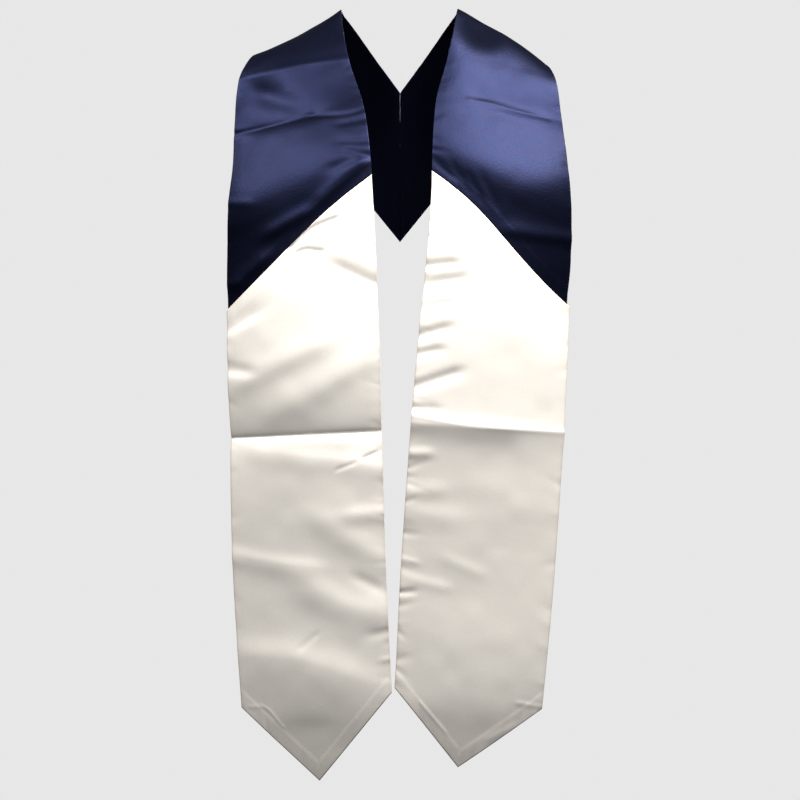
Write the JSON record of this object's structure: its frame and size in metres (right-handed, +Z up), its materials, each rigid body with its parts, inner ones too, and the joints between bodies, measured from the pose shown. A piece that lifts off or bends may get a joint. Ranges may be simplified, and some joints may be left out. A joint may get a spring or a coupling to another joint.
{
  "type": "graduation stole",
  "caption": "Two-colour satin stole in its worn form: flat bands joined in a V behind the neck, hanging down the front to pointed hems.",
  "frame": {"origin": "on the wearer's neck axis, level with the shoulders where the stole's outer edges cross them", "axes": "+Z up, -Y towards the wearer's front, +X towards the wearer's left, which a viewer in front sees on the right"},
  "size_m": [0.3357, 0.2667, 0.7649],
  "materials": {
    "navy_satin": "satin weave with a soft sheen",
    "white_satin": "satin weave with a soft sheen"
  },
  "bodies": {
    "root": {"right_yoke": "navy_satin", "left_yoke": "navy_satin", "right_panel": "white_satin", "left_panel": "white_satin"}
  },
  "joints": []
}
